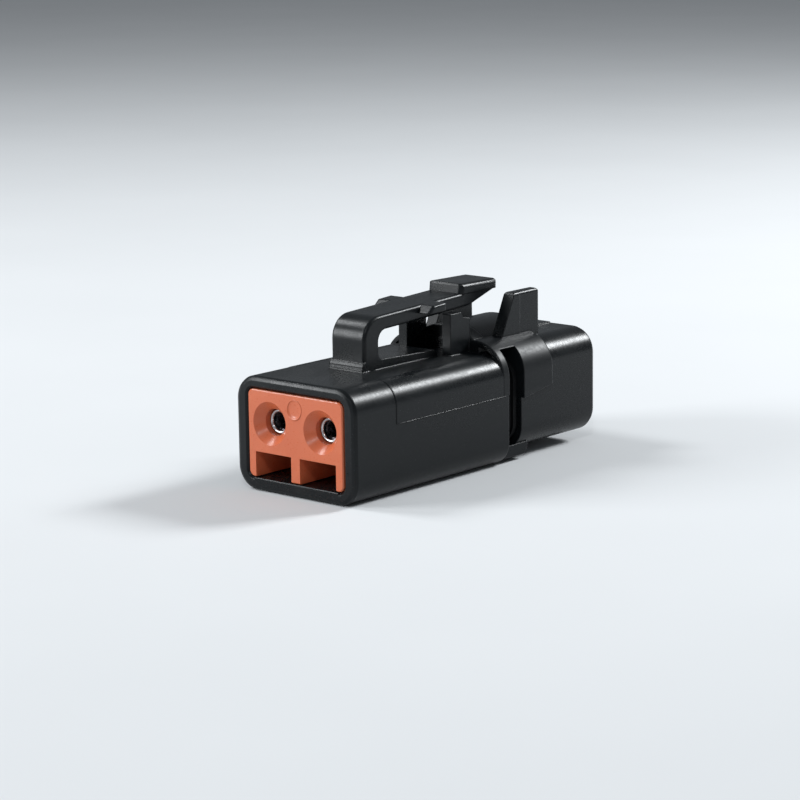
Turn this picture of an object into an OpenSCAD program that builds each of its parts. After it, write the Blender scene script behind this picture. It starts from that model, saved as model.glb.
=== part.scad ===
// Sealed two-way connector plug, socket side, for heavy-duty vehicle wiring.
// The mating face looks along -Y, the wires leave along +Y and the latch is on top.
// The origin is the middle of the bounding box, at the height of its underside.

/* [Housing] */
// overall length, from the mating face to the wire end
body_l = 48.8; // [46:0.1:60]
// width of the mating nose
nose_w = 20; // [19:0.1:26]
// height of the mating nose
nose_h = 14.65; // [14.2:0.05:18]
// length of the nose, up to the seal slot
nose_l = 29.9; // [28:0.1:34]
// corner radius of the nose
nose_r = 3.1; // [2:0.1:4]
// side wall of the nose
wall_side = 1.95; // [1.4:0.05:2.4]
// floor under the opening of the nose
wall_floor = 1.7; // [1.2:0.05:2]
// roof over the opening of the nose
wall_roof = 1.55; // [1.2:0.05:2]
// open width of the seal slot, along the length
slot_l = 3.1; // [2.4:0.1:4]
// width of the rear housing
rear_w = 19; // [18:0.1:24]

/* [Saddle and guards] */
// length of the saddle that carries the guards, from the end of the nose
saddle_l = 9.3; // [8.6:0.1:11]
// how far the saddle stands proud of the rear housing
saddle_t = 0.7; // [0.4:0.05:1.2]
// height of the rear guards above the saddle
ear_h = 5.5; // [3:0.1:7]
// thickness of a rear guard
ear_t = 1.7; // [1.2:0.1:2.4]
// thickness of a front guard post
post_t = 1.4; // [1.2:0.1:2]

/* [Latch] */
// width of the latch arm
arm_w = 5.6; // [4.6:0.1:6]
// thickness of the latch arm
arm_t = 1.95; // [1.4:0.05:2.2]
// height of the front leg of the latch above the deck
leg_h = 6.75; // [6:0.05:8]
// thickness of the front leg
leg_t = 2.9; // [2.4:0.1:3.4]
// length of the thumb pad
pad_l = 7.5; // [6:0.1:8]
// how far a lock tooth stands out of the side of the arm
tooth_t = 2.0; // [0.8:0.05:2.2]

/* [Contacts and wedge] */
// distance between the two contacts
pitch = 8.5; // [8.2:0.05:10]
// outside diameter of a contact sleeve
sleeve_d = 3.26; // [3:0.02:3.5]
// diameter of the pin that a contact takes
pin_d = 2.3; // [1.6:0.05:2.4]
// length of the wedge lock
wedge_l = 15.6; // [12:0.1:17]
// width across the mouth of a wedge funnel
funnel_d = 5.56; // [4.6:0.02:6]
// width of a wire hole in the rear seal
wire_d = 2.9; // [2:0.1:3.4]

/* [Hidden] */
$fn = 64;
black = [0.055, 0.058, 0.062];
orange = [0.80, 0.25, 0.11];
rubber = [0.10, 0.10, 0.11];
metal = [0.72, 0.70, 0.66];
steel = [0.62, 0.63, 0.65];

// stations along the length
yf = -body_l / 2;
yr = body_l / 2;
ys0 = yf + nose_l;
ys1 = ys0 + slot_l;
y_hood = ys0 - 1.3;
y_saddle = ys0 + saddle_l;
cav_d = 17.2;
y_core = yf + cav_d;
core_t = 1.6;
y_pocket = ys1 + 5.6;

// core through the slot, the seal round it and the pocket of the wire seal
core_in = 2.3;
core_z0 = 3.6;
core_z1 = nose_h - 2.15;
core_r = 2;
core_w = nose_w / 2 - core_in;
roof_w = nose_w / 2 - 4;
seal_t = 1.0;
seal_rib = 0.3;
seal_gap = 0.1;
pocket_wall = 1.6;
pocket_w = rear_w / 2 - pocket_wall;
pocket_r = 2.2;
mouth_d = 1.8;
seal_l = yr - mouth_d - y_pocket;

// heights
zc = nose_h * 0.607;
rear_z0 = 1.35;
tab_z = 2.25;
rear_z1 = nose_h + 0.85;
rear_r = 3.3;
sad_z1 = rear_z1 + saddle_t;
sad_r = 4.5;
slide_t = 0.07;
slide_z = 9.38;
ear_r = 0.45;
hump_h = 1.65;
hump_w = 4.85;
hump_r = (hump_w * hump_w + hump_h * hump_h) / (2 * hump_h);

// latch
hx = arm_w / 2;
y_leg = yf + 10.0;
hinge_y = y_leg + leg_t / 2;
hinge_z = nose_h + 1.5;
leg_r = leg_t / 2;
arm_top = nose_h + leg_h;
rise = 0.042;
y_pad = y_hood + 0.35;
y_post = y_hood - 3.7;
y_lock = y_post - 1.2;
tooth_l = 3.6;
tooth_h = 1.1;
pad_t = 1.25;
plinth_h = 1.2;
function top_at(y) = arm_top + rise * (y - y_leg - 3);
function under_at(y) = top_at(y) - arm_t;

// contact stations
y_sleeve = yf + 2.0;
y_flange = y_core + core_t;
y_barrel = y_flange + 4.2;
y_tail = y_barrel + 8.2;
bore_r = 2.45;

// a box between two corners
module box(x0, x1, y0, y1, z0, z1) {
    translate([x0, y0, z0]) cube([x1 - x0, y1 - y0, z1 - z0]);
}

// a flat rounded outline, half width w, between two heights
module outline(w, z0, z1, r) {
    translate([-w + r, z0]) square([2 * (w - r), z1 - z0]);
    translate([-w, z0 + r]) square([2 * w, z1 - z0 - 2 * r]);
    for (sx = [-1, 1]) {
        translate([sx * (w - r), z0 + r]) circle(r);
        translate([sx * (w - r), z1 - r]) circle(r);
    }
}

// the outline drawn out along the length
module tube(w, z0, z1, r, y0, y1) {
    translate([0, y1, 0]) rotate([90, 0, 0]) linear_extrude(y1 - y0) outline(w, z0, z1, r);
}

// a short rounded length whose outline grows from d0 to d1
module taper(w, z0, z1, r, d0, d1, y0, y1) {
    for (sx = [-1, 1], z = [z0 + r, z1 - r])
        translate([sx * (w - r), y1, z]) rotate([90, 0, 0])
            cylinder(h = y1 - y0, r1 = r + d1, r2 = r + d0);
    translate([-(w - r), 0, 0]) rotate([90, 0, 90]) linear_extrude(2 * (w - r))
        polygon([[y0, z0 - d0], [y1, z0 - d1], [y1, z1 + d1], [y0, z1 + d0]]);
    translate([0, 0, z0 + r]) linear_extrude(z1 - z0 - 2 * r)
        polygon([[-w - d0, y0], [w + d0, y0], [w + d1, y1], [-w - d1, y1]]);
}

// the same length with both of its end edges eased, round a core that joins them
module eased(w, z0, z1, r, y0, y1, ef, er) {
    e = max(ef, er);
    tube(w, z0, z1, r, y0 + ef, y1 - er);
    tube(w - e, z0 + e, z1 - e, r - e, y0, y1);
    if (ef > 0) {
        taper(w, z0, z1, r, -ef * 0.30, 0, y0 + ef * 0.30, y0 + ef);
        taper(w, z0, z1, r, -ef, -ef * 0.30, y0, y0 + ef * 0.30);
    }
    if (er > 0) {
        taper(w, z0, z1, r, 0, -er * 0.30, y1 - er, y1 - er * 0.30);
        taper(w, z0, z1, r, -er * 0.30, -er, y1 - er * 0.30, y1);
    }
}

// a side profile, in length and height, drawn out across the width
module across(w) {
    translate([-w, 0, 0]) rotate([90, 0, 90]) linear_extrude(2 * w) children();
}

// both sides of the part
module both() {
    children();
    mirror([1, 0, 0]) children();
}

// the nose, with the panel of its side slide standing a hair proud
module nose() {
    w = nose_w / 2;
    eased(w - slide_t, 0, nose_h, nose_r, yf, ys0, 0.55, 0);
    intersection() {
        tube(w, 0, nose_h + 0.02, nose_r, yf + 7.75, ys0);
        both() box(w - 3.1, w + 1, yf + 7, ys0 + 1, slide_z, nose_h + 1);
    }
}

// the saddle over the joint of nose and rear housing
module saddle() {
    w = nose_w / 2 + 0.03;
    difference() {
        eased(w, -6, sad_z1, sad_r, y_hood, y_saddle, 0.25, 0.35);
        // below the flaps
        across(w + 1) polygon([[y_hood - 1, -7], [y_hood - 1, slide_z + 0.03], [ys1 - 0.4, slide_z + 0.03],
            [ys1 - 0.4, slide_z - 0.85], [ys1 + 0.2, slide_z - 0.85], [y_saddle - 0.6, slide_z + 0.05],
            [y_saddle + 1, slide_z + 0.3], [y_saddle + 1, -7]]);
    }
}

// a plate between two widths and two heights, with its two upper edges rounded
module round_top(x0, x1, z0, z1, r, y0, y1) {
    translate([0, y1, 0]) rotate([90, 0, 0]) linear_extrude(y1 - y0) {
        translate([x0, z0]) square([x1 - x0, z1 - z0 - r]);
        translate([x0 + r, z0]) square([x1 - x0 - 2 * r, z1 - z0]);
        for (x = [x0 + r, x1 - r]) translate([x, z1 - r]) circle(r);
    }
}

// one rear guard: a thicker front half that slopes, and a rear half set back a little on its outer side
module ear() {
    x1 = hx + 3.75;
    x0 = x1 - ear_t;
    zt = sad_z1 + ear_h;
    y0 = ys0 + 2.9;
    step = 0.14;
    intersection() {
        round_top(x0, x1, sad_z1 - 1.6, zt, ear_r, y0 - 1, y0 + 3.75);
        across(nose_w) polygon([[y0, sad_z1 - 1.6], [y0, sad_z1], [y0 + 2.5, zt - 0.25], [y0 + 2.8, zt],
            [y0 + 3.75, zt], [y0 + 3.75, sad_z1 - 1.6]]);
    }
    intersection() {
        round_top(x0, x1 - step, sad_z1 - 1.6, zt, ear_r, y0 + 3, y0 + 9);
        across(nose_w) polygon([[y0 + 3.1, sad_z1 - 1.6], [y0 + 3.1, zt], [y0 + 7.45, zt],
            [y0 + 7.7, zt - 0.25], [y0 + 7.7, sad_z1 - 1.6]]);
    }
}

// one front guard post beside the arm
module post() {
    zt = nose_h + 5.4;
    translate([hx + 0.2, 0, 0]) rotate([90, 0, 90]) linear_extrude(post_t)
        polygon([[y_post, nose_h - 1], [y_post, zt], [y_hood - 1.6, zt], [y_hood - 1.1, zt - 0.7],
            [y_hood + 0.2, zt - 0.95], [y_hood + 0.2, nose_h - 1]]);
}

// the low rail under the latch, with the seat of the leg
module plinth() {
    zt = nose_h + plinth_h;
    y0 = y_leg - 0.45;
    across(hx) polygon([[y0, nose_h - 1], [y0, nose_h + 0.30], [y0 + 0.1, nose_h + 0.42], [y0 + 0.1, zt - 0.5],
        [y0 + 0.25, zt - 0.15], [y0 + 0.6, zt], [y_leg + leg_t + 0.2, zt], [y_hood - 4.9, zt - 0.4],
        [y_hood - 4.5, zt - 0.8], [y_hood - 4.5, nose_h - 1]]);
}

// the arched stop between the rear guards, under the thumb pad
module hump() {
    intersection() {
        translate([0, y_saddle + 0.5, sad_z1 + hump_h - hump_r]) rotate([90, 0, 0])
            cylinder(h = saddle_l - 0.7, r = hump_r);
        box(-nose_w, nose_w, ys0, yr, rear_z1 - 1, 2 * nose_h);
    }
}

// the core that runs through the slot
module slot_core(d) {
    tube(core_w, core_z0, core_z1, core_r, ys0 - d, ys1 + d);
}

// the solid roof of the slot between the hood corners
module slot_roof(y0) {
    box(-roof_w, roof_w, y0, ys1 + 1, core_z1 - 1, nose_h + 1);
}

module housing() {
    wi = nose_w / 2 - wall_side;
    color(black) difference() {
        union() {
            nose();
            saddle();
            // core through the slot
            slot_core(1);
            // roof of the slot, between the two hood corners
            slot_roof(ys0 - 1);
            eased(rear_w / 2, rear_z0, rear_z1, rear_r, ys1, yr, 0, 0.5);
            // low panel on top of the rear housing
            box(-2.6, 2.6, y_saddle - 1, yr - 0.8, rear_z1 - 1, rear_z1 + 0.22);
            both() ear();
            both() post();
            plinth();
            hump();
            // tab under the slot
            intersection() {
                tube(nose_w / 2 - 0.1, 0.1, nose_h, nose_r, ys0 + 0.67, ys1 + 3);
                across(nose_w / 2 - 1.35) polygon([[ys0 + 0.6, 0], [ys0 + 0.6, tab_z], [ys1 + 2.3, tab_z],
                    [ys1 + 2.3, 1.4], [ys1 + 2.0, 0.8], [ys1 + 1.4, 0.3], [ys1 + 0.6, 0.1], [ys1, 0]]);
            }
        }
        // opening of the nose
        tube(wi, wall_floor, nose_h - wall_roof, 1.0, yf - 1, y_core);
        taper(wi, wall_floor, nose_h - wall_roof, 1.0, 0.35, 0, yf - 0.05, yf + 0.3);
        // seal slot, open at both sides and below the hood
        difference() {
            tube(nose_w / 2 + 2, tab_z, nose_h + 0.5, 0.3, ys0, ys1);
            slot_core(1);
            slot_roof(ys0 - 1);
        }
        // gap between the corner of the nose and the hood
        difference() {
            tube(nose_w / 2 - 0.62, 5, nose_h + 0.85, sad_r - 0.6, y_hood - 1, ys1 - 0.6);
            tube(nose_w / 2 - slide_t, 0, nose_h, nose_r, y_hood - 2, ys0);
            slot_core(1);
            slot_roof(y_hood - 2);
        }
        // contact cavities, wider behind the front wall of the core
        for (sx = [-1, 1]) translate([sx * pitch / 2, 0, zc]) rotate([-90, 0, 0]) {
            translate([0, 0, y_core - 1]) cylinder(h = 4, r = sleeve_d / 2 + 0.22);
            translate([0, 0, y_flange]) cylinder(h = y_pocket - y_flange + 1, r = bore_r);
        }
        // pocket of the wire seal
        tube(pocket_w, rear_z0 + pocket_wall, rear_z1 - pocket_wall, pocket_r, y_pocket, yr + 1);
        // seat of the latch leg
        translate([-nose_w, hinge_y, hinge_z]) rotate([0, 90, 0]) cylinder(h = 2 * nose_w, r = leg_r + 0.06);
    }
}

module latch_arm() {
    y1 = y_pad + pad_l;
    ze = top_at(y_pad);
    color(black) {
        difference() {
            across(hx) union() {
                // leg and arm
                translate([hinge_y, hinge_z]) circle(leg_r);
                translate([y_leg, hinge_z]) square([leg_t, arm_top - hinge_z - 3]);
                intersection() {
                    translate([y_leg + 3, arm_top - 3]) circle(3);
                    translate([y_leg, arm_top - 3]) square([3, 3]);
                }
                polygon([[y_leg + 2.5, arm_top - 3.2], [y_leg + leg_t, arm_top - 3.2],
                    [y_leg + leg_t + 1.2, under_at(y_leg + 4.1)], [y1 - 6, under_at(y1 - 6)],
                    [y1 - 0.7, ze - 0.2], [y1, ze - 0.05], [y1, ze + 0.1], [y_leg + 3, arm_top], [y_leg + 2.5, arm_top - 0.5]]);
            }
            // nothing of the arm reaches over the thumb pad
            box(-nose_w, nose_w, y1, y1 + 5, 0, 2 * nose_h);
        }
        // thumb pad
        intersection() {
            round_top(-hx - 0.12, hx + 0.12, ze - 1, ze + pad_t, 0.4, y_pad - 1, y1 + 1);
            across(hx + 1) polygon([[y_pad, ze - 0.1], [y_pad, ze + pad_t - 0.15], [y_pad + 0.15, ze + pad_t],
                [y1 - 0.2, ze + pad_t - 0.1], [y1, ze + pad_t - 0.3], [y1, ze - 0.1]]);
        }
        // lock teeth, eased at the front corner and square at the back
        for (sx = [-1, 1]) intersection() {
            translate([0, 0, nose_h]) linear_extrude(2 * nose_h) polygon([
                [sx * (hx - 0.5), y_lock - tooth_l], [sx * (hx + tooth_t - 0.5), y_lock - tooth_l],
                [sx * (hx + tooth_t), y_lock - tooth_l + 0.6], [sx * (hx + tooth_t), y_lock], [sx * (hx - 0.5), y_lock]]);
            across(nose_w) polygon([[y_lock - tooth_l, top_at(y_lock) - tooth_h],
                [y_lock + 1, top_at(y_lock + 1) - tooth_h], [y_lock + 1, top_at(y_lock + 1)],
                [y_lock - tooth_l + 1.6, top_at(y_lock) - 0.22], [y_lock - tooth_l + 0.5, top_at(y_lock) - 0.5],
                [y_lock - tooth_l, top_at(y_lock) - 0.8]]);
        }
    }
}

module wedge_lock() {
    w = nose_w / 2 - wall_side - 0.14;
    zb = wall_floor + 0.14;
    zt = nose_h - wall_roof - 0.11;
    hole = sleeve_d / 2 + 0.09;
    color(orange) difference() {
        union() {
            tube(w, zb, zt, 0.8, yf + 0.15, yf + wedge_l);
            tube(w - 0.13, zb + 0.13, zt - 0.13, 0.67, yf + 0.02, yf + wedge_l - 1);
            taper(w, zb, zt, 0.8, -0.13, 0, yf + 0.02, yf + 0.15);
        }
        // two windows along the floor
        for (s = [-1, 1]) {
            box(s > 0 ? 0.72 : -w + 1.16, s > 0 ? w - 1.16 : -0.72, yf - 1, yf + wedge_l + 1, zb - 1, 5.1);
            // funnels and sleeve holes
            translate([s * pitch / 2, 0, zc]) rotate([-90, 0, 0]) {
                translate([0, 0, yf + 0.02]) cylinder(h = 1.1, r1 = funnel_d / 2, r2 = hole);
                translate([0, 0, yf - 1]) cylinder(h = 1.03, r = funnel_d / 2);
                translate([0, 0, yf + 1]) cylinder(h = wedge_l, r = hole);
                translate([0, 0, yf + 3.2]) cylinder(h = wedge_l, r = hole + 0.35);
            }
        }
        // shallow round recess of the mould gate, deeper at its lower side
        translate([0, yf - 0.15, zc + 2.35]) rotate([-90, 0, 0]) cylinder(h = 0.24, r = 1.12);
        translate([0.06, yf + 0.02, zc + 2.15]) rotate([-76, 0, -8]) cylinder(h = 0.2, r = 0.98);
    }
}

module interface_seal() {
    t = seal_t;
    color(rubber) difference() {
        union() {
            tube(core_w + t, core_z0 - t, core_z1 + t, core_r + t * 0.8, ys0 + seal_gap, ys1 - seal_gap);
            for (k = [0.25, 0.75]) tube(core_w + t + seal_rib, core_z0 - t - seal_rib, core_z1 + t + seal_rib,
                core_r + t, ys0 + slot_l * (k - 0.11), ys0 + slot_l * (k + 0.11));
        }
        slot_core(1);
        box(-roof_w - seal_gap, roof_w + seal_gap, ys0 - 1, ys1 + 1, core_z1 - 1.5, nose_h + 3);
    }
}

module wire_seal() {
    color(rubber) difference() {
        union() {
            tube(pocket_w - 0.5, rear_z0 + pocket_wall + 0.5, rear_z1 - pocket_wall - 0.5, pocket_r - 0.4,
                y_pocket + 0.05, y_pocket + seal_l);
            for (k = [0.08, 0.42, 0.76]) tube(pocket_w, rear_z0 + pocket_wall, rear_z1 - pocket_wall, pocket_r,
                y_pocket + seal_l * k, y_pocket + seal_l * (k + 0.11));
        }
        for (s = [-1, 1]) translate([s * pitch / 2, 0, zc]) rotate([-90, 0, 0]) {
            translate([0, 0, y_pocket - 1]) cylinder(h = seal_l + 2, r = wire_d / 2);
            translate([0, 0, y_pocket + seal_l - 0.6]) cylinder(h = 0.61, r1 = wire_d / 2, r2 = wire_d / 2 + 0.6);
        }
    }
}

module socket_body() {
    color(metal) translate([pitch / 2, 0, zc]) rotate([-90, 0, 0]) difference() {
        union() {
            translate([0, 0, y_sleeve + 0.5]) cylinder(h = y_barrel - y_sleeve, r = sleeve_d / 2 - 0.25);
            translate([0, 0, y_flange]) cylinder(h = 1.6, r = sleeve_d / 2 + 0.55);
            translate([0, 0, y_flange + 2.6]) cylinder(h = 1.6, r = sleeve_d / 2 + 0.3);
            translate([0, 0, y_barrel]) cylinder(h = y_tail - y_barrel, r = sleeve_d / 2 + 0.1);
        }
        // bore for the mating pin
        translate([0, 0, y_sleeve - 1]) cylinder(h = 11, r = pin_d / 2);
        // crimp barrel
        translate([0, 0, y_tail - 6.5]) cylinder(h = 8, r = sleeve_d / 2 - 0.26);
        // inspection hole of the barrel
        translate([0, 0, y_tail - 6.2]) rotate([0, 90, 0]) cylinder(h = 4, r = 0.45);
        // slits between the tines
        for (a = [45, 135]) rotate([0, 0, a]) translate([-3, -0.14, y_sleeve]) cube([6, 0.28, 6]);
    }
}

module socket_sleeve() {
    color(steel) translate([pitch / 2, 0, zc]) rotate([-90, 0, 0]) difference() {
        translate([0, 0, y_sleeve]) cylinder(h = 12, r = sleeve_d / 2);
        translate([0, 0, y_sleeve + 0.3]) cylinder(h = 13, r = sleeve_d / 2 - 0.25);
        translate([0, 0, y_sleeve - 1]) cylinder(h = 3, r = pin_d / 2 + 0.12);
        translate([0, 0, y_sleeve - 0.01]) cylinder(h = 0.2, r1 = pin_d / 2 + 0.27, r2 = pin_d / 2 + 0.12);
    }
}

module socket_body_left() { mirror([1, 0, 0]) socket_body(); }
module socket_body_right() { socket_body(); }
module socket_sleeve_left() { mirror([1, 0, 0]) socket_sleeve(); }
module socket_sleeve_right() { socket_sleeve(); }

housing();
latch_arm();
wedge_lock();
interface_seal();
wire_seal();
socket_body_left();
socket_body_right();
socket_sleeve_left();
socket_sleeve_right();
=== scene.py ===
"""A sealed two-way connector plug, socket side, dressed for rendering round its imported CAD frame."""

import math

import bpy
import numpy as np
from mathutils import Matrix, Vector


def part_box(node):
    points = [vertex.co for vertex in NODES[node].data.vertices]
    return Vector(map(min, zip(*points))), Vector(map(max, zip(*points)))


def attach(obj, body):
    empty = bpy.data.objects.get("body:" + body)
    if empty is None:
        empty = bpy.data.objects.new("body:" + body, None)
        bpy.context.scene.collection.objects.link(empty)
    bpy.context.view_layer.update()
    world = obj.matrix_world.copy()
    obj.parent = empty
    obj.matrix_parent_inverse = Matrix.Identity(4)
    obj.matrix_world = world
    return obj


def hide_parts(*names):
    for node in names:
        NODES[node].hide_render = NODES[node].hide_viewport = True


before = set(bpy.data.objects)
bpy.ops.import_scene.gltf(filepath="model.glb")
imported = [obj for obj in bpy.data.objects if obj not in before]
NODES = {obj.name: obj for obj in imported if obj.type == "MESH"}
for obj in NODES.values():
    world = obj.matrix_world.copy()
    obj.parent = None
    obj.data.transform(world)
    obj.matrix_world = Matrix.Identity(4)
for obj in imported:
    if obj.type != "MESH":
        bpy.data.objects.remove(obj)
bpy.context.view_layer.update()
MM = 0.001


def in_mm(box):
    """The low and high corners of a box, in mm."""
    return [np.array(corner) / MM for corner in box]


# ---------------------------------------------------------------- camera

CAMERA_AT = (0.2282761, -0.2671429, 0.0808472)
CAMERA_TURN = math.radians(40.99687)
CAMERA_DROP = math.radians(11.63836)
CAMERA_ROLL = math.radians(-0.78948)
CAMERA_LENS = 124.3627


def place_camera():
    """The camera looks down on the mating face from its right. Its back axis comes from the turn and the
    drop, and the roll turns the other two axes about it."""
    level = math.cos(CAMERA_DROP)
    back = Vector((math.sin(CAMERA_TURN) * level, -math.cos(CAMERA_TURN) * level, math.sin(CAMERA_DROP)))
    side = Vector((0, 0, 1)).cross(back).normalized()
    over = back.cross(side)
    c, s = math.cos(CAMERA_ROLL), math.sin(CAMERA_ROLL)
    right, up = c * side + s * over, c * over - s * side
    lens = bpy.data.cameras.new("camera")
    lens.lens, lens.sensor_width = CAMERA_LENS, 36
    lens.clip_start, lens.clip_end = 0.01, 20
    camera = bpy.data.objects.new("camera", lens)
    camera.matrix_world = Matrix((right, up, back)).transposed().to_4x4()
    camera.location = CAMERA_AT
    bpy.context.scene.collection.objects.link(camera)
    bpy.context.scene.camera = camera


# ---------------------------------------------------------------- materials

# Where the saddle's duller skin begins and is full, and where it ends and is gone, along and up, in metres.
SADDLE_LONG = (0.00425, 0.00445, 0.0147, 0.0149)
SADDLE_HIGH = (0.0093, 0.0095, 0.0162, 0.0166)


class Finish:
    """A node material that is put together from a few short calls."""

    def __init__(self, name):
        self.material = bpy.data.materials.new(name)
        self.material.use_nodes = True
        self.tree = self.material.node_tree
        self.shader = self.tree.nodes["Principled BSDF"]
        self.place = self.node("ShaderNodeTexCoord").outputs["Object"]

    def node(self, kind, inputs=(), **settings):
        """Adds a node; its inputs are constants or other nodes' outputs, by name or number."""
        made = self.tree.nodes.new(kind)
        for key, value in settings.items():
            setattr(made, key, value)
        for key, value in dict(inputs).items():
            self.feed(made.inputs[key], value)
        return made

    def feed(self, socket, value):
        """A constant goes on the socket itself, and an output is linked to it."""
        if isinstance(value, bpy.types.NodeSocket):
            self.tree.links.new(value, socket)
        else:
            socket.default_value = value

    def set(self, **sockets):
        """Feeds the shader's own sockets, named with _ for a space."""
        for key, value in sockets.items():
            self.feed(self.shader.inputs[key.replace("_", " ")], value)

    def grain(self, size, detail=2.0, rough=0.5, stretch=(1, 1, 1), warp=0.0):
        """Noise with grains about size metres across, stretched along the part's own axes."""
        at = self.node("ShaderNodeMapping", {"Vector": self.place, "Scale": stretch}).outputs[0]
        inputs = {"Vector": at, "Scale": 1 / size, "Detail": detail, "Roughness": rough, "Distortion": warp}
        return self.node("ShaderNodeTexNoise", inputs).outputs["Fac"]

    def band(self, value, low, high, to_low=0.0, to_high=1.0):
        """Maps low..high of a value to to_low..to_high, smoothly, and holds it beyond."""
        inputs = {0: value, 1: low, 2: high, 3: to_low, 4: to_high}
        return self.node("ShaderNodeMapRange", inputs, interpolation_type="SMOOTHSTEP").outputs[0]

    def window(self, value, start, full, ending, gone):
        """A smooth rise from 0 at start to 1 at full, times a smooth fall from 1 at ending to 0 at gone."""
        return self.times(self.band(value, start, full), self.band(value, ending, gone, 1, 0))

    def mixed(self, share, first, second):
        """A colour between two colours."""
        made = self.node("ShaderNodeMix", data_type="RGBA")
        self.feed(made.inputs[0], share)
        self.feed(made.inputs[6], first)
        self.feed(made.inputs[7], second)
        return made.outputs[2]

    def plus(self, first, second):
        """The sum of two values."""
        return self.node("ShaderNodeMath", {0: first, 1: second}, operation="ADD").outputs[0]

    def times(self, first, second):
        """The product of two values."""
        return self.node("ShaderNodeMath", {0: first, 1: second}, operation="MULTIPLY").outputs[0]

    def soft_edges(self, radius):
        """A normal that turns smoothly over each edge, as if the edge had that radius."""
        return self.node("ShaderNodeBevel", {"Radius": radius}, samples=8).outputs[0]

    def bump(self, height, distance, strength=1.0, under=None):
        """A normal that follows a height in metres, over the normal given as under."""
        inputs = {"Height": height, "Distance": distance, "Strength": strength}
        if under is not None:
            inputs["Normal"] = under
        return self.node("ShaderNodeBump", inputs).outputs[0]


def black_moulding():
    """Black glass-filled nylon: a semi-gloss skin with fine orange peel, faint flow lines and pale specks
    of fibre. The slide that formed the saddle left it duller, between its two ends and above the side
    panels' foot."""
    f = Finish("black_nylon")
    peel = f.grain(0.00035, 3, 0.6)
    cloud = f.grain(0.006, 3, 0.5, stretch=(1, 0.45, 1), warp=0.6)
    speck = f.band(f.grain(0.00016, 1, 0.5), 0.70, 0.80)
    tone = f.mixed(cloud, (0.0034, 0.0044, 0.0052, 1), (0.0066, 0.0082, 0.0094, 1))
    tone = f.mixed(f.times(speck, 0.55), tone, (0.075, 0.08, 0.085, 1))
    at = f.node("ShaderNodeSeparateXYZ", {0: f.place}).outputs
    dull = f.times(f.window(at[1], *SADDLE_LONG), f.window(at[2], *SADDLE_HIGH))
    rough = f.plus(f.band(cloud, 0.3, 0.7, 0.27, 0.35), f.band(peel, 0.35, 0.65, -0.03, 0.03))
    rough = f.plus(rough, f.times(dull, 0.13))
    skin_normal = f.bump(speck, 0.000008, 0.3, f.soft_edges(0.00022))
    f.set(Base_Color=tone, Roughness=rough, IOR=1.48, Specular_IOR_Level=0.23)
    f.set(Normal=f.bump(peel, 0.000010, 0.2, skin_normal))
    return f.material


def orange_moulding():
    """Orange polyester of the wedge: satin, a little paler where the melt met, with a fine eroded mould
    texture."""
    f = Finish("orange_polyester")
    spark = f.grain(0.00022, 2, 0.55)
    cloud = f.grain(0.0045, 3, 0.5, warp=0.8)
    tone = f.mixed(cloud, (0.52, 0.119, 0.049, 1), (0.60, 0.153, 0.068, 1))
    rough = f.band(spark, 0.3, 0.7, 0.27, 0.36)
    f.set(Base_Color=tone, Roughness=rough, IOR=1.5, Specular_IOR_Level=0.4)
    f.set(Subsurface_Weight=0.08, Subsurface_Radius=(0.0008, 0.0003, 0.00015), Subsurface_Scale=1.0)
    f.set(Normal=f.bump(spark, 0.00001, 0.5))
    return f.material


def seal_rubber():
    """Silicone of the seals: matt, with a fine bloom."""
    f = Finish("seal_silicone")
    bloom = f.grain(0.0012, 4, 0.6)
    tone = f.mixed(bloom, (0.0025, 0.0028, 0.0031, 1), (0.005, 0.0054, 0.006, 1))
    rough = f.band(bloom, 0.3, 0.7, 0.5, 0.66)
    f.set(Base_Color=tone, Roughness=rough, IOR=1.43, Specular_IOR_Level=0.16)
    f.set(Normal=f.bump(f.grain(0.0003, 2), 0.00001, 0.5))
    return f.material


def plated_metal(name, low, high, least):
    """A plated contact: fine turning marks round its length and slight tarnish, no smoother than least."""
    f = Finish(name)
    tarnish = f.grain(0.0011, 4, 0.6, warp=0.5)
    turning = f.grain(0.00012, 1, 0.4, stretch=(0.05, 1, 0.05))
    rough = f.plus(f.band(tarnish, 0.35, 0.7, least, least + 0.12), f.band(turning, 0.3, 0.7, 0, 0.06))
    f.set(Base_Color=f.mixed(tarnish, low, high), Metallic=1.0, Roughness=rough)
    f.set(Normal=f.bump(turning, 0.000003, 0.3))
    return f.material


# ---------------------------------------------------------------- making pieces

# The least corner radius of an inset outline, in mm, and the number of outlines round an eased edge.
LEAST_RADIUS = 0.012
EASE_STEPS = 6


def piece(name, mesh, body, material, crisp=40):
    """Puts a finished mesh in the scene, on its body, with its material. Its faces are smooth, and edges
    that turn more than crisp degrees stay crisp."""
    mesh.materials.append(material)
    mesh.shade_smooth()
    mesh.set_sharp_from_angle(angle=math.radians(crisp))
    made = bpy.data.objects.new(name, mesh)
    bpy.context.scene.collection.objects.link(made)
    level = made.modifiers.new("level", "WEIGHTED_NORMAL")
    level.weight, level.keep_sharp = 80, True
    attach(made, body)
    return made


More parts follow.
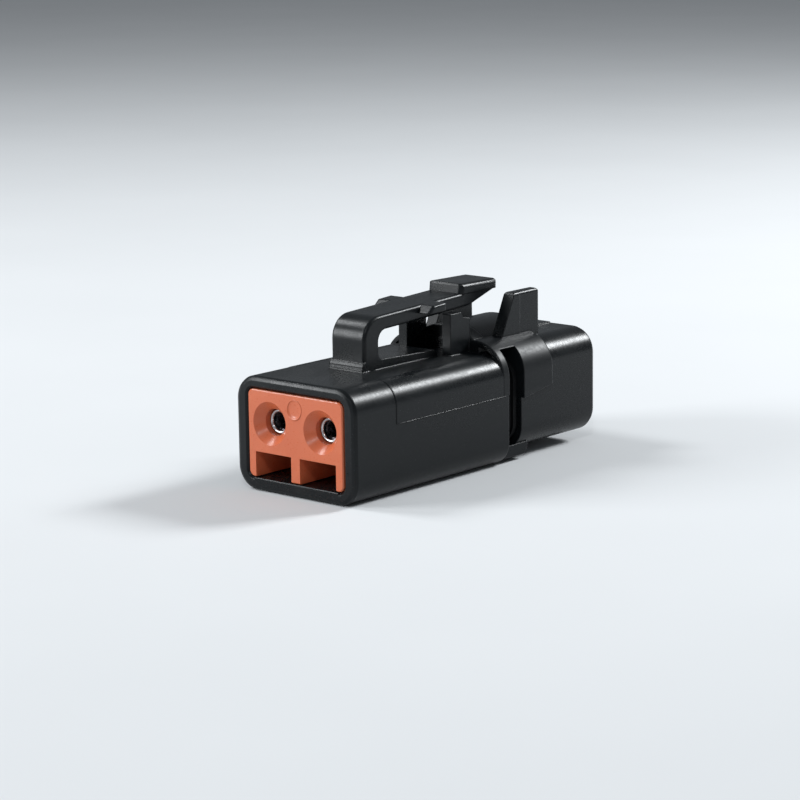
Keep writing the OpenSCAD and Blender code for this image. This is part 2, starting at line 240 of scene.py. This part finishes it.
def skin(name, rings, body, material, whole=False, flip=False, crisp=40):
    """Covers a row of closed rings of points, in mm: each point and the next one on its ring make a
    four-sided face with the same two points of the next ring. A whole skin also joins its last ring to its
    first, and any other is closed by a flat face over each end ring. The faces look outward when the rings
    run anticlockwise as seen from the last ring's side, and rings that run the other way are flipped."""
    rows, cols = rings.shape[:2]
    i, j = np.meshgrid(np.arange(rows if whole else rows - 1), np.arange(cols), indexing="ij")
    i1, j1 = (i + 1) % rows, (j + 1) % cols
    quads = np.stack([i * cols + j, i * cols + j1, i1 * cols + j1, i1 * cols + j], 2).reshape(-1, 4)
    first, last = np.arange(cols), np.arange((rows - 1) * cols, rows * cols)
    if flip:
        quads, ends = quads[:, [0, 3, 2, 1]], [first, last[::-1]]
    else:
        ends = [first[::-1], last]
    caps = [] if whole else [end.tolist() for end in ends]
    mesh = bpy.data.meshes.new(name)
    mesh.from_pydata((rings.reshape(-1, 3) * MM).tolist(), [], quads.tolist() + caps)
    return piece(name, mesh, body, material, crisp)


def rounded(corners, radii, steps):
    """A closed outline with each corner replaced by an arc. At a corner p with unit directions u and v to
    its neighbours, and half angle h between them, the arc's centre is p + (u + v) / |u + v| * r / sin h,
    and the arc turns evenly between the two points where it touches the sides, r / tan h from p."""
    p = np.asarray(corners, float)
    u = np.roll(p, 1, 0) - p
    v = np.roll(p, -1, 0) - p
    u /= np.linalg.norm(u, axis=1, keepdims=True)
    v /= np.linalg.norm(v, axis=1, keepdims=True)
    half = np.arccos(np.clip((u * v).sum(1), -1, 1)) / 2
    r = np.asarray(radii, float)
    middle = (u + v) / np.linalg.norm(u + v, axis=1, keepdims=True)
    centre = p + middle * (r / np.sin(half))[:, None]
    first = p + u * (r / np.tan(half))[:, None] - centre
    last = p + v * (r / np.tan(half))[:, None] - centre
    t = np.linspace(0, 1, steps)[None, :]
    turn = (np.pi - 2 * half)[:, None]
    a = (np.sin((1 - t) * turn) / np.sin(turn))[:, :, None]
    b = (np.sin(t * turn) / np.sin(turn))[:, :, None]
    return (centre[:, None] + a * first[:, None] + b * last[:, None]).reshape(-1, 2)


def inset(corners, depth, share):
    """The same outline, which runs anticlockwise, with each side moved inward by depth times its share.
    Corner p moves by x = ((a - b c) m + (b - a c) n) / (1 - c c), where m and n are the inward normals of
    its two sides, a and b the moves of those sides, and c = m . n."""
    p = np.asarray(corners, float)
    side = np.roll(p, -1, 0) - p
    side /= np.linalg.norm(side, axis=1, keepdims=True)
    n = np.stack([-side[:, 1], side[:, 0]], 1)
    m = np.roll(n, 1, 0)
    b = depth * np.asarray(share, float)
    a = np.roll(b, 1)
    c = np.clip((m * n).sum(1), -0.9999, 0.9999)
    return p + ((a - b * c)[:, None] * m + (b - a * c)[:, None] * n) / (1 - c * c)[:, None]


def bends_in(corners):
    """True at each corner that bends inward, where the cross product of its two sides is negative."""
    p = np.asarray(corners, float)
    before, after = p - np.roll(p, 1, 0), np.roll(p, -1, 0) - p
    return before[:, 0] * after[:, 1] - before[:, 1] * after[:, 0] < 0


def slab(name, corners, radii, low, high, ease, body, slot, material, steps=6, share=None):
    """A moulded plate: an outline in length and height, in mm, drawn out across the width from low to high,
    with its side edges rounded. At angle a of the rounding the outline is inset by ease * (1 - cos a) and
    lies ease * (1 - sin a) inside the side, and an inset corner keeps its centre. A side with a share of 0
    stays."""
    inward = bends_in(corners)
    share = np.ones(len(corners)) if share is None else share
    a = np.linspace(0, np.pi / 2, EASE_STEPS)
    across = ease * (1 - np.sin(a))
    outlines = []
    for depth in ease * (1 - np.cos(a)):
        r = np.where(inward, np.asarray(radii) + depth, np.maximum(np.asarray(radii) - depth, LEAST_RADIUS))
        outlines.append(rounded(inset(corners, depth, share), r, steps))
    outlines = np.array(outlines)
    x = np.concatenate([low + across[::-1], high - across])
    flat = np.concatenate([outlines[::-1], outlines])
    rings = np.concatenate([np.broadcast_to(x[:, None, None], flat.shape[:2] + (1,)), flat], 2)
    return skin(name, rings, body, material)


def bead(name, path, outward, radius, body, material):
    """A fine raised line: a flattened half circle of the given radius carried along a path of points in mm.
    At angle a the surface is p + radius * (cos a * s + flat * sin a * n), where n points out of the part
    and s = n x the path's own direction. Its sides tuck in under the surface. Near each end the radius
    shrinks by the square root of half the number of points that are left."""
    p, n = np.asarray(path, float), np.asarray(outward, float)
    t = np.gradient(p, axis=0)
    t /= np.linalg.norm(t, axis=1, keepdims=True)
    s = np.cross(n, t)
    tuck, flat, least = 0.3, 0.8, 0.02
    a = np.linspace(-tuck, np.pi + tuck, 7)
    from_end = np.minimum(np.arange(len(p)), np.arange(len(p))[::-1])
    size = radius * np.sqrt(np.clip(from_end / 2, least, 1))
    section = np.cos(a)[None, :, None] * s[:, None] + flat * np.sin(a)[None, :, None] * n[:, None]
    return skin(name, p[:, None] + size[:, None, None] * section, body, material)


def turned(name, profile, centre, body, material, around=96, span=(0.0, 2 * np.pi)):
    """A turned piece along the part's length: each profile point (radius, y) in mm goes round the centre
    (x, z) at angle a, to (x + r cos a, y, z + r sin a). The profile closes on itself, and so does a whole
    turn."""
    p = np.asarray(profile, float)
    whole = abs(span[1] - span[0] - 2 * np.pi) < 1e-6
    a = np.linspace(span[0], span[1], around, endpoint=not whole)
    x = centre[0] + p[None, :, 0] * np.cos(a)[:, None]
    z = centre[1] + p[None, :, 0] * np.sin(a)[:, None]
    rings = np.stack([x, np.broadcast_to(p[None, :, 1], x.shape), z], 2)
    return skin(name, rings, body, material, whole=whole, flip=True)


# ---------------------------------------------------------------- the housing's own details

def mould_seams(material):
    """The witness line of each side slide, along the foot of its panel."""
    low, high = in_mm(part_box("housing"))
    sunk, start, long, foot, radius = 0.03, 7.75, 22.1, 9.38, 0.06
    wide, front = high[0] - sunk, low[1] + start
    y = np.linspace(front + long, front, 60)
    for side, name in ((-1, "mould_seam_left"), (1, "mould_seam_right")):
        run = np.stack([np.full_like(y, side * wide), y, np.full_like(y, foot)], 1)
        outward = np.broadcast_to((side, 0.0, 0.0), run.shape)
        bead(name, run, outward, radius, "plug", material)


def mouth_sill(material):
    """The crisp lower edge of the nose's mouth, under the wedge's windows."""
    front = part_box("housing")[0][1] / MM
    proud, deep, half, ease = 0.004, 0.5, 7.1, 0.04
    bottom, top = 1.2, 1.704
    sill = [(front - proud, bottom), (front + deep, bottom), (front + deep, top), (front - proud, top)]
    slab("mouth_sill", sill, [0.03, 0.03, 0.03, 0.06], -half, half, ease, "plug", "shell_plastic", material)


def hood_arch(material):
    """The arched stop's front end, from the hood's lip back to the stop: at angle t of the arc, a ring's
    point is (x, z) = (q sin t, middle + q cos t) with q = radius - inset. A chord below the foot closes the
    ring, and the front edge is rounded by ease, through a quarter turn a."""
    foot, half, rise, ease = 16.2, 4.85, 1.65, 0.3
    front, back, buried = 4.45, 6.72, 0.45
    radius = (half * half + rise * rise) / (2 * rise)
    middle, reach = foot + rise - radius, math.asin(half / radius)
    a = np.linspace(np.pi / 2, 0, EASE_STEPS)
    y = np.concatenate([front + ease * (1 - np.sin(a)), [back]])
    q = radius - np.concatenate([ease * (1 - np.cos(a)), [0.0]])
    t = np.linspace(reach, -reach, 49)
    x = np.concatenate([q[:, None] * np.sin(t), q[:, None] * np.sin([-reach, reach])], 1)
    z = np.concatenate([middle + q[:, None] * np.cos(t), np.full((len(q), 2), foot - buried)], 1)
    rings = np.stack([x, np.broadcast_to(y[:, None], x.shape), z], 2)
    skin("hood_arch", rings, "plug", material, flip=True)


# ---------------------------------------------------------------- the latch

def latch(material):
    """The arm with its leg, the thumb pad and the two lock teeth, all moulded in one with the housing. The
    leg goes down into the low rail, and a root fills the seat there, so that no joint shows. From the end
    of its bend the arm's top rises evenly, by slope, to the pad."""
    low, high = in_mm(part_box("latch_arm"))
    leg, tip, crown = low[1], high[1], high[2]
    nose_roof = 1.66
    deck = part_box("wedge_lock")[1][2] / MM + nose_roof
    half, thick, leg_thick, slope, bend = 2.82, 1.95, 2.9, 0.042, 3
    pad_half, pad_long, pad_high, pad_lip, pad_lean = 2.92, 7.5, 1.25, 0.12, 0.15
    arm_ease, pad_ease, tooth_ease, root_ease = 0.46, 0.7, 0.35, 0.02
    top = crown - pad_high - slope * (tip - pad_long - leg - bend)

    def top_at(y):
        return top + slope * (y - leg - bend)

    pad_front = tip - pad_long
    pad_foot = top_at(pad_front)

    # The outline runs from the foot in the root, up the leg's back and along the underside to the tongue
    # inside the pad, and back along the top.
    sunk, toe, toe_high, heel_high, taper = 0.2, 0.9, 1.12, 1.16, 6
    tongue_front, tongue_end, tongue_top = pad_front + 0.6, tip - 0.35, pad_foot + 0.9
    heel = leg + leg_thick
    arm = [(leg, deck + sunk), (heel + toe, deck + sunk), (heel + toe, deck + toe_high),
           (heel, deck + heel_high), (heel, top_at(leg + bend) - thick),
           (tip - taper, top_at(tip - taper) - thick),
           (tongue_end, pad_foot - pad_lip), (tongue_end, tongue_top),
           (tongue_front, tongue_top), (tongue_front, top_at(tongue_front)), (leg, top_at(leg))]
    arm_radii = [0.05, 0.05, 0.12, 0.7, 1.5, 1.5, 0.05, 0.05, 0.05, 0.05, bend]
    slab("latch", arm, arm_radii, -half, half, arm_ease, "latch", "shell_plastic", material, steps=12,
         share=[1, 1, 0, 1, 1, 0.55, 0, 0, 0, 1, 1])

    pad = [(pad_front, pad_foot - pad_lip), (tip, pad_foot - pad_lip), (tip, crown - pad_lip),
           (pad_front + pad_lean, crown)]
    slab("thumb_pad", pad, [0.05, 0.05, 0.4, 0.25], -pad_half, pad_half, pad_ease, "latch", "shell_plastic",
         material, share=[0, 1, 1, 1])

    lock, long, ramp, reach, rooted, under_top = -0.7, 3.6, 1.15, 1.98, 0.6, 1.1
    back_low, back_high, front_high = 0.04, 1.12, 0.98
    base = top_at(lock) - under_top
    tooth = [(lock - long, base), (lock, base + back_low), (lock, base + back_high),
             (lock - long + ramp, base + front_high)]
    for side, name in ((-1, "lock_tooth_left"), (1, "lock_tooth_right")):
        ends = sorted((side * (half - rooted), side * (half + reach)))
        slab(name, tooth, [0.06, 0.08, 0.15, 0.25], *ends, tooth_ease, "latch", "shell_plastic", material,
             share=[0, 1, 1, 1])

    root_front, root_back, root_low, root_top = leg - 0.2, heel + 0.35, deck - 0.25, deck + 1.195
    root_half = 2.796
    root = [(root_front, root_low), (root_back, root_low), (root_back, root_top), (root_front, root_top)]
    slab("latch_root", root, [0.05] * 4, -root_half, root_half, root_ease, "plug", "shell_plastic", material)
    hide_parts("latch_arm")


# ---------------------------------------------------------------- contacts and wedge

def contact_mouths(sleeve_metal, spring_metal):
    """Each contact's steel sleeve with its rolled lip, and the four spring tines inside it. The lip is a
    half circle in section, of radius lip. At y of its length, from 0 to 1, a tine's inner radius is
    mouth - pinch * (0.5 - 0.5 cos 2 pi t), where t is y * early and goes no further than 1."""
    proud, forward, lip, wall, lip_back, bore_front = 0.05, 0.25, 0.27, 0.3, 0.7, 1.0
    mouth, pinch, early, tine_start, tine_long, tine_thick = 1.135, 0.13, 1.15, 0.9, 4.6, 0.10
    first_tine, tine_pitch, tine_wide = 50, 90, 80
    for side in ("left", "right"):
        low, high = in_mm(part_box("socket_sleeve_" + side))
        centre = ((low[0] + high[0]) / 2, (low[2] + high[2]) / 2)
        outer, front, back = (high[0] - low[0]) / 2 + proud, low[1] - forward, high[1]
        a = np.linspace(0, np.pi, 11)
        roll = np.stack([outer - lip + lip * np.cos(a), front + lip - lip * np.sin(a)], 1)
        tube = [(outer - 2 * lip, front + lip_back), (outer - wall, front + bore_front),
                (outer - wall, back), (outer, back)]
        profile = np.concatenate([roll, tube])
        sleeve = turned("sleeve_" + side, profile, centre, "plug", sleeve_metal)
        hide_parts("socket_sleeve_" + side)
        y = np.linspace(0, 1, 14)
        neck = mouth - pinch * (0.5 - 0.5 * np.cos(2 * np.pi * np.clip(y * early, 0, 1)))
        inner = np.stack([neck, front + tine_start + tine_long * y], 1)
        outline = np.concatenate([inner, inner[::-1] + (tine_thick, 0.0)])
        for k in range(4):
            start = np.radians(first_tine + tine_pitch * k)
            turned("tine_%s_%d" % (side, k + 1), outline, centre, "plug", spring_metal,
                   around=16, span=(start, start + np.radians(tine_wide)))


def gate_mark(material):
    """The round mark of the mould gate in the wedge's face: a flat floor in a raised rim that is widest at
    its lower side. With w the share of lowness, max(0, -sin(a + tilt)), a profile row goes round the middle
    at radius + grow * w, and lies behind - lift * w behind the wedge's face. The last ring is under the
    floor."""
    face = in_mm(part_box("wedge_lock"))[0][1]
    contact_height, over_contacts, tilt = 8.8926, 2.35, 0.35
    middle = contact_height + over_contacts
    pole, floor, under = 0.004, 0.045, 0.30
    profile = np.array([(pole, 0.0, floor, 0.0), (0.5, 0.0, floor, 0.0), (1.02, -0.14, floor, 0.0),
                        (1.06, -0.12, 0.035, 0.0), (1.10, 0.00, -0.03, 0.03), (1.14, 0.11, -0.06, 0.08),
                        (1.18, 0.17, -0.06, 0.09), (1.22, 0.22, -0.02, 0.04), (1.24, 0.24, 0.03, 0.0),
                        (1.24, 0.24, under, 0.0), (pole, 0.0, under, 0.0)])
    radius, grow, behind, lift = (column[:, None] for column in profile.T)
    a = np.linspace(0, 2 * np.pi, 96, endpoint=False)
    w = np.clip(-np.sin(a + tilt), 0, 1)
    r = radius + grow * w
    rings = np.stack([r * np.cos(a), face + behind - lift * w, middle + r * np.sin(a)], 2)
    skin("gate_mark", rings, "wedge", material, flip=True, crisp=60)


# ---------------------------------------------------------------- the whole plug

place_camera()
black = black_moulding()
orange = orange_moulding()
silicone = seal_rubber()
brass = plated_metal("plated_contact", (0.30, 0.28, 0.30, 1), (0.46, 0.44, 0.46, 1), 0.20)
steel = plated_metal("sleeve_steel", (0.40, 0.40, 0.41, 1), (0.52, 0.52, 0.53, 1), 0.17)

for name, material in (("housing", black), ("latch_arm", black), ("wedge_lock", orange),
                       ("interface_seal", silicone), ("wire_seal", silicone),
                       ("socket_body_left", brass), ("socket_body_right", brass),
                       ("socket_sleeve_left", steel), ("socket_sleeve_right", steel)):
    data = NODES[name].data
    data.materials.clear()
    data.materials.append(material)

latch(black)
mould_seams(black)
contact_mouths(steel, brass)
gate_mark(orange)
mouth_sill(black)
hood_arch(black)


# ---------------------------------------------------------------- studio

SOFT_BOXES = (("back_box", (0.19, 0.42, 0.32), 0.13, 2.9),
              ("high_box", (0.34, -0.43, 0.46), 0.045, 0.7),
              ("left_box", (-0.36, -0.12, 0.42), 0.14, 1.15),
              ("front_box", (-0.42, -0.50, 0.20), 0.26, 3.4))
LIGHT_AIM = (0, 0, 0.01)
LIGHT_COLOUR = (0.95, 0.98, 1.0)
WORLD_COLOUR = (0.88, 0.94, 1.0, 1)
WORLD_STRENGTH = 0.24
FLOOR_HALF = 3


def softbox(name, at, size, power):
    """A square lamp, size metres across, that looks from its place at the middle of the part."""
    light = bpy.data.lights.new(name, "AREA")
    light.shape, light.size, light.energy = "SQUARE", size, power
    light.color = LIGHT_COLOUR
    lamp = bpy.data.objects.new(name, light)
    lamp.location = at
    lamp.rotation_euler = (Vector(at) - Vector(LIGHT_AIM)).to_track_quat("Z", "Y").to_euler()
    bpy.context.scene.collection.objects.link(lamp)


def studio():
    """A pale floor, an even pale world and soft boxes above, behind and beside the part."""
    scene = bpy.context.scene
    scene.view_settings.view_transform = "Standard"
    world = bpy.data.worlds.new("studio")
    scene.world = world
    world.use_nodes = True
    sky = world.node_tree.nodes["Background"].inputs
    sky["Color"].default_value = WORLD_COLOUR
    sky["Strength"].default_value = WORLD_STRENGTH
    f = Finish("pale_floor")
    tone = f.mixed(f.grain(0.05, 3), (0.67, 0.68, 0.69, 1), (0.71, 0.72, 0.73, 1))
    f.set(Base_Color=tone, Roughness=0.9, Specular_IOR_Level=0.15)
    mesh = bpy.data.meshes.new("floor")
    corners = np.array([(-1, -1, 0), (1, -1, 0), (1, 1, 0), (-1, 1, 0)], float) * FLOOR_HALF
    mesh.from_pydata(corners.tolist(), [], [(0, 1, 2, 3)])
    mesh.materials.append(f.material)
    floor = bpy.data.objects.new("floor", mesh)
    scene.collection.objects.link(floor)
    for box in SOFT_BOXES:
        softbox(*box)


studio()
